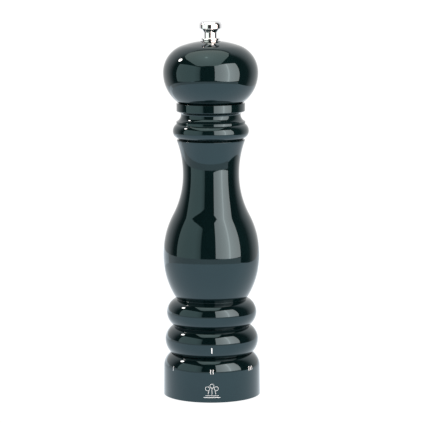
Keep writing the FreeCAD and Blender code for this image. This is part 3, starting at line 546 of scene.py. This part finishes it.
# Knob, heights above its own foot; the outline starts and ends on the axis.
knobCuts = {
    "blind end": (0.0, 7.0),
    "thread top": (2.5, 7.0),
    "thread foot": (2.5, 0.0),
    "flange foot": (5.1, 0.0),
    "flange lower round": (5.6, 0.5, 0.5),
    "flange": (5.6, 1.1),
    "flange upper round": (5.1, 1.6, 1.1),
    "neck foot": (3.9, 1.6),
    "neck": (3.9, 4.9),
    "cone": (5.5, 7.0),
    "disc underside": (6.2, 7.0),
    "disc lower round": (6.7, 7.5, 7.5),
    "disc side": (6.7, 9.0),
    "disc upper round": (4.1, 11.6, 9.0),
    "crown": (0.0, 11.6),
}
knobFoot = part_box("knob")[0].z
knob = turnPiece("polished_knob", knobCuts, knobFoot, closed=False)
knob.data.materials.append(made["polishedSteel"])
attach(knob, "knob")
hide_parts("knob")
print("turned pieces done")


marks = {
    "stroke": 0.38,         # mm, width of a numeral's stroke
    "numeralHeight": 2.6,
    "numeralMiddle": 18.5,
    "vLean": 17.0,          # degrees
    "vWidth": 1.35,         # a V's share of the room that an I takes
    "strokeGap": 1.45,
    "strokeCuts": 5,        # cuts across and along a stroke, so that it follows the surface
    "standOff": 40.0,       # mm in front of the axis, where marks start
    "film": 0.03,           # mm, thickness of the print
    "lift": 0.01,           # mm off the lacquer
    "settingStep": 53.0,    # degrees between two settings
    "settingAtFront": 2,
    "indexWidth": 0.55,
    "indexHeight": 3.4,
    "indexMiddle": 31.0,
}


def addStroke(across, middle, width, height, lean=0.0):
    # a flat stroke in front of the mill, later laid on its surface
    deselectAll()
    bpy.ops.mesh.primitive_plane_add(size=mm, location=(across * mm, -marks["standOff"] * mm, middle * mm),
                                     rotation=(math.radians(90), math.radians(lean), 0))
    stroke = bpy.context.object
    stroke.scale = (width, height, 1)
    bpy.ops.object.transform_apply(location=True, rotation=True, scale=True)
    bpy.ops.object.mode_set(mode="EDIT")
    bpy.ops.mesh.select_all(action="SELECT")
    bpy.ops.mesh.subdivide(number_cuts=marks["strokeCuts"])
    bpy.ops.object.mode_set(mode="OBJECT")
    return stroke


def addRing(across, middle, radius, width):
    # a flat ring in front of the mill, a peppercorn of the emblem
    deselectAll()
    bpy.ops.mesh.primitive_circle_add(vertices=32, radius=radius * mm, fill_type="NGON",
                                      location=(across * mm, -marks["standOff"] * mm, middle * mm),
                                      rotation=(math.radians(90), 0, 0))
    ring = bpy.context.object
    bpy.ops.object.transform_apply(location=True, rotation=True, scale=True)
    bpy.ops.object.mode_set(mode="EDIT")
    bpy.ops.mesh.select_all(action="SELECT")
    bpy.ops.mesh.inset(thickness=width * mm)
    bpy.ops.mesh.delete(type="FACE")
    bpy.ops.object.mode_set(mode="OBJECT")
    return ring


def layOn(name, strokes, target, turn=0.0):
    # joins the strokes, lays them on the turned surface and gives the print its thickness
    makeActive(*strokes)
    if len(strokes) > 1:
        bpy.ops.object.join()
    mark = bpy.context.object
    mark.name = mark.data.name = name
    wrap = mark.modifiers.new("lay", "SHRINKWRAP")
    wrap.target = target
    wrap.wrap_method = "PROJECT"
    wrap.use_project_y = True
    wrap.use_positive_direction = True
    wrap.use_negative_direction = False
    wrap.offset = marks["lift"] * mm
    bpy.ops.object.modifier_apply(modifier="lay")
    film = mark.modifiers.new("film", "SOLIDIFY")
    film.thickness = marks["film"] * mm
    film.offset = 1.0
    bpy.ops.object.modifier_apply(modifier="film")
    mark.rotation_euler = (0, 0, math.radians(turn))
    bpy.ops.object.transform_apply(location=True, rotation=True, scale=True)
    mark.data.materials.append(made["markWhite"])
    return mark


indexStroke = addStroke(0, marks["indexMiddle"], marks["indexWidth"], marks["indexHeight"])
index = layOn("index_mark", [indexStroke], woodenCase)
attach(index, "case")

numerals = ["I", "II", "III", "IV", "V", "VI"]
letterWidth = {"I": marks["strokeGap"], "V": marks["strokeGap"] * marks["vWidth"]}
for number, numeral in enumerate(numerals, 1):
    total = sum(letterWidth[letter] for letter in numeral)
    at, strokes = -total / 2, []
    for letter in numeral:
        middle = at + letterWidth[letter] / 2
        leans = [0.0] if letter == "I" else [-marks["vLean"], marks["vLean"]]
        for lean in leans:
            shift = math.tan(math.radians(lean)) * marks["numeralHeight"] / 2
            strokes.append(addStroke(middle + shift, marks["numeralMiddle"], marks["stroke"],
                                     marks["numeralHeight"], lean))
        at += letterWidth[letter]
    turn = (number - marks["settingAtFront"]) * marks["settingStep"]
    mark = layOn("setting_" + numeral, strokes, footRing, turn)
    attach(mark, "selector")

# A plain peppercorn sprig on two ground lines; heights are above its foot.
sprig = {
    "foot": 3.2, "width": 10.0, "line": 0.2, "thickLine": 0.28,
    "upperLine": 1.1, "upperShare": 0.8,
    "cornRadius": 1.3, "sideCorn": (2.6, 5.3), "topCorn": 6.9,
    "sideStem": (2.05, 2.95), "sideStemLength": 2.1, "stemLean": 12.0,
    "topStem": 3.7, "topStemLength": 3.8,
}
sprigLow, line = sprig["foot"], sprig["line"]
cornAcross, cornUp = sprig["sideCorn"]
stemAcross, stemUp = sprig["sideStem"]
emblemLines = [
    addStroke(0, sprigLow, sprig["width"], sprig["thickLine"]),
    addStroke(0, sprigLow + sprig["upperLine"], sprig["width"] * sprig["upperShare"], line),
    addRing(-cornAcross, sprigLow + cornUp, sprig["cornRadius"], line),
    addRing(cornAcross, sprigLow + cornUp, sprig["cornRadius"], line),
    addRing(0, sprigLow + sprig["topCorn"], sprig["cornRadius"], line),
    addStroke(-stemAcross, sprigLow + stemUp, line, sprig["sideStemLength"], sprig["stemLean"]),
    addStroke(stemAcross, sprigLow + stemUp, line, sprig["sideStemLength"], -sprig["stemLean"]),
    addStroke(0, sprigLow + sprig["topStem"], line, sprig["topStemLength"]),
]
emblem = layOn("peppercorn_emblem", emblemLines, footRing)
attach(emblem, "selector")
print("marks printed")


# Studio: a white sweep with low lips, two upright panels, one overhead, a small light and a backdrop.
studio = {
    "floorHalfWidth": 0.40, "floorFront": -0.395, "floorBack": 0.70,
    "floorGlow": [(0.0, 1.62), (0.30, 1.62), (0.46, 1.30), (0.6, 1.14), (1.0, 1.12)],
    "lipGlow": 1.6, "backLipGlow": 1.05, "tint": (0.93, 1.0, 1.06), "backTint": (1.0, 1.0, 1.0),
    "lipRadius": 0.39, "lipHeight": 0.048, "lowLipHeight": 0.025,
    "lipFrom": -95.0, "lowLipFrom": 12.0, "backLipFrom": 72.0, "lipTo": 265.0, "lipSteps": 48,
    "underFoot": 0.1 * mm,  # the sweep lies this far below the mill's foot
    "lightAim": (0, 0, 0.12),
}
rightPanel = {
    "azimuth": 41.0, "distance": 0.390, "width": 0.468, "low": 0.048, "high": 0.510,
    "tint": (1.22, 1.0, 0.91),
    "glow": [(0.0, 3.9), (0.2, 4.4), (0.38, 5.3), (0.49, 6.3), (0.535, 8.8), (0.58, 6.2), (0.7, 5.6),
             (0.85, 4.9), (1.0, 4.5)],
}
leftPanel = {
    "azimuth": -57.0, "distance": 0.640, "width": 0.812, "low": -0.045, "high": 0.597,
    "tint": (0.91, 1.0, 0.92),
    "glow": [(0.0, 1.38), (0.74, 1.38), (0.93, 1.0), (1.0, 0.45)],
}
overhead = {"place": (-0.030, -0.0985, 0.350), "width": 0.245, "depth": 0.2755, "cutCorner": 0.055,
            "hotSpot": (0.033, 0.106, 0.0), "tint": (1.01, 1.0, 0.89),
            "glow": [(0.0, 7.0), (0.03, 4.5), (0.09, 2.6), (0.5, 2.2), (1.0, 1.9)]}
smallLight = {"place": (-1.27, 0.27, 1.17), "radius": 0.13, "tint": (1.3, 1.0, 0.9),
              "glow": [(0.0, 30.0), (1.0, 30.0)]}


def glowMaterial(name, look, radial=False):
    # brightness along the panel's width, or out from a disc's middle; the mesh spans -0.5 to 0.5
    material = bpy.data.materials.new(name)
    material.use_nodes = True
    tree = material.node_tree
    tree.nodes.clear()
    place = addNode(tree, "ShaderNodeTexCoord", 0)
    ramp = addNode(tree, "ShaderNodeValToRGB", 3)
    if radial:
        middle = addNode(tree, "ShaderNodeVectorMath", 0, 1, operation="SUBTRACT")
        middle.inputs[1].default_value = look.get("hotSpot", (0.0, 0.0, 0.0))
        measure = addNode(tree, "ShaderNodeVectorMath", 1, operation="LENGTH")
        shift = addNode(tree, "ShaderNodeMath", 2, operation="MULTIPLY")
        shift.inputs[1].default_value = 2.0
        tree.links.new(place.outputs["Object"], middle.inputs[0])
        tree.links.new(middle.outputs["Vector"], measure.inputs[0])
        tree.links.new(measure.outputs["Value"], shift.inputs[0])
    else:
        measure = addNode(tree, "ShaderNodeSeparateXYZ", 1)
        shift = addNode(tree, "ShaderNodeMath", 2, operation="ADD")
        shift.inputs[1].default_value = 0.5
        tree.links.new(place.outputs["Object"], measure.inputs["Vector"])
        tree.links.new(measure.outputs["X"], shift.inputs[0])
    tree.links.new(shift.outputs["Value"], ramp.inputs["Fac"])
    top = max(value for _, value in look["glow"])
    stops = ramp.color_ramp.elements
    while len(stops) < len(look["glow"]):
        stops.new(0.5)
    for stop, (at, value) in zip(stops, look["glow"]):
        stop.position = at
        stop.color = (*[value / top * c for c in look["tint"]], 1.0)
    light = addNode(tree, "ShaderNodeEmission", 4)
    light.inputs["Strength"].default_value = top
    sink = addNode(tree, "ShaderNodeOutputMaterial", 5)
    tree.links.new(ramp.outputs["Color"], light.inputs["Color"])
    tree.links.new(light.outputs["Emission"], sink.inputs["Surface"])
    return material


def hideFromCamera(thing):
    # lights and is reflected, but leaves the view and the mill's underside clear
    thing.visible_camera = False
    thing.visible_shadow = False


def addPanel(name, look):
    # an upright panel that faces the mill's axis; azimuth 0 is the front
    azimuth = math.radians(look["azimuth"])
    deselectAll()
    bpy.ops.mesh.primitive_plane_add(size=1, rotation=(math.radians(90), 0, azimuth), location=(
        look["distance"] * math.sin(azimuth), -look["distance"] * math.cos(azimuth),
        (look["low"] + look["high"]) / 2))
    panel = bpy.context.object
    panel.name = name
    panel.scale = (look["width"], look["high"] - look["low"], 1)
    panel.data.materials.append(glowMaterial(name, look))
    hideFromCamera(panel)


def addOverhead(name, look):
    # a flat panel over the table, its two front corners cut off
    deselectAll()
    bpy.ops.mesh.primitive_plane_add(size=1, location=look["place"])
    panel = bpy.context.object
    panel.name = name
    for corner in panel.data.vertices:
        corner.select = corner.co.y < 0
    bpy.ops.object.mode_set(mode="EDIT")
    bpy.ops.mesh.select_mode(type="VERT")
    bpy.ops.mesh.bevel(offset=look["cutCorner"] / look["width"], segments=2, affect="VERTICES")
    bpy.ops.object.mode_set(mode="OBJECT")
    panel.scale = (look["width"], look["depth"], 1)
    panel.data.materials.append(glowMaterial(name, look, radial=True))
    hideFromCamera(panel)


def addDisc(name, look, aim):
    deselectAll()
    bpy.ops.mesh.primitive_circle_add(vertices=64, radius=0.5, fill_type="NGON", location=look["place"])
    disc = bpy.context.object
    disc.name = name
    disc.scale = (look["radius"] * 2, look["radius"] * 2, 1)
    disc.rotation_euler = (aim - Vector(look["place"])).to_track_quat("Z", "Y").to_euler()
    disc.data.materials.append(glowMaterial(name, look, radial=True))
    hideFromCamera(disc)


def addLip(name, height, azimuthFrom, azimuthTo, material):
    # a low curved wall where the sweep rises, swept about the mill's axis
    lip = startPoint(name, (0, -studio["lipRadius"], 0))
    pullPoint(0, height)
    bpy.ops.mesh.select_all(action="SELECT")
    bpy.ops.mesh.spin(steps=studio["lipSteps"], angle=math.radians(azimuthTo - azimuthFrom),
                      center=(0, 0, 0), axis=(0, 0, 1))
    bpy.ops.object.mode_set(mode="OBJECT")
    lip.rotation_euler.z = math.radians(azimuthFrom)
    lip.data.materials.append(material)
    hideFromCamera(lip)


deselectAll()
bpy.ops.mesh.primitive_plane_add(size=1, location=(0, (studio["floorFront"] + studio["floorBack"]) / 2,
                                                   cadBox[0].z - studio["underFoot"]))
floor = bpy.context.object
floor.name = "floor"
floor.rotation_euler.z = math.radians(90)
floor.scale = (studio["floorBack"] - studio["floorFront"], studio["floorHalfWidth"] * 2, 1)
floor.data.materials.append(glowMaterial("whiteSweep", {"tint": studio["tint"], "glow": studio["floorGlow"]}))
hideFromCamera(floor)
evenGlow = glowMaterial("whiteLip", {
    "tint": studio["tint"], "glow": [(0.0, studio["lipGlow"])] * 2})
backGlow = glowMaterial("whiteBackLip", {
    "tint": studio["backTint"], "glow": [(0.0, studio["backLipGlow"])] * 2})
addLip("sweep_lip", studio["lipHeight"], studio["lipFrom"], studio["lowLipFrom"], evenGlow)
addLip("sweep_low_lip", studio["lowLipHeight"], studio["lowLipFrom"], studio["backLipFrom"], evenGlow)
addLip("sweep_back_lip", studio["lipHeight"], studio["backLipFrom"], studio["lipTo"], backGlow)
addPanel("right_panel", rightPanel)
addPanel("left_panel", leftPanel)
addOverhead("overhead_panel", overhead)
addDisc("small_light", smallLight, aim=Vector(studio["lightAim"]))


# Reflected glow by direction: along Y from the front to the back, and dimmer straight overhead.
backdrop = {
    "glow": [(0.0, 0.02), (0.22, 0.06), (0.36, 0.34), (0.5, 0.68), (0.7, 0.92), (1.0, 1.0)],
    "ceilingFrom": 0.84, "ceilingTo": 0.88, "ceilingGlow": 0.35,
    "seenGlow": 1.05,
}


def buildBackdrop():
    # white to look at; what the lacquer reflects is dark in front and rises to white behind
    world = bpy.data.worlds.new("backdrop")
    bpy.context.scene.world = world
    world.use_nodes = True
    tree = world.node_tree
    tree.nodes.clear()
    way = addNode(tree, "ShaderNodeTexCoord", 0)
    flat = addNode(tree, "ShaderNodeVectorMath", 1, 0, operation="MULTIPLY")
    flat.inputs[1].default_value = (1.0, 1.0, 0.0)
    unit = addNode(tree, "ShaderNodeVectorMath", 2, 0, operation="NORMALIZE")
    back = addNode(tree, "ShaderNodeSeparateXYZ", 3, 0)
    ramp = addNode(tree, "ShaderNodeValToRGB", 4, 0)
    stops = ramp.color_ramp.elements
    while len(stops) < len(backdrop["glow"]):
        stops.new(0.5)
    for stop, (at, value) in zip(stops, backdrop["glow"]):
        stop.position = at
        stop.color = (value, value, value, 1.0)
    height = addNode(tree, "ShaderNodeSeparateXYZ", 1, 1)
    ceiling = addNode(tree, "ShaderNodeMapRange", 2, 1)
    setInputs(ceiling, From_Min=backdrop["ceilingFrom"], From_Max=backdrop["ceilingTo"],
              To_Min=1.0, To_Max=backdrop["ceilingGlow"])
    dim = addNode(tree, "ShaderNodeMath", 5, 1, operation="MULTIPLY")
    seen = addNode(tree, "ShaderNodeLightPath", 4, 2)
    pick = addNode(tree, "ShaderNodeMix", 6, 1, data_type="FLOAT")
    pick.inputs["B"].default_value = backdrop["seenGlow"]
    light = addNode(tree, "ShaderNodeBackground", 7, 0)
    light.inputs["Color"].default_value = (1.0, 1.0, 1.0, 1.0)
    sink = addNode(tree, "ShaderNodeOutputWorld", 8, 0)
    tree.links.new(way.outputs["Generated"], flat.inputs[0])
    tree.links.new(flat.outputs["Vector"], unit.inputs[0])
    tree.links.new(unit.outputs["Vector"], back.inputs["Vector"])
    tree.links.new(back.outputs["Y"], ramp.inputs["Fac"])
    tree.links.new(way.outputs["Generated"], height.inputs["Vector"])
    tree.links.new(height.outputs["Z"], ceiling.inputs["Value"])
    tree.links.new(ramp.outputs["Color"], dim.inputs[0])
    tree.links.new(ceiling.outputs["Result"], dim.inputs[1])
    tree.links.new(dim.outputs["Value"], pick.inputs["A"])
    tree.links.new(seen.outputs["Is Camera Ray"], pick.inputs["Factor"])
    tree.links.new(pick.outputs["Result"], light.inputs["Strength"])
    tree.links.new(light.outputs["Background"], sink.inputs["Surface"])


buildBackdrop()
print("studio lit")

# A long lens from the front, a little above the head; angles in degrees, the lens and sensor in mm.
camera = {"place": (0.00098, -1.3917, 0.2958), "downTilt": 7.59, "roll": 0.25, "lens": 200.0,
          "sensor": 36.0, "farthest": 20.0}
bpy.ops.object.camera_add(location=camera["place"], rotation=(
    math.radians(90 - camera["downTilt"]), math.radians(camera["roll"]), 0))
eye = bpy.context.object
eye.data.lens = camera["lens"]
eye.data.sensor_width = camera["sensor"]
eye.data.clip_end = camera["farthest"]
bpy.context.scene.camera = eye
bpy.context.scene.view_settings.view_transform = "Standard"
deselectAll()
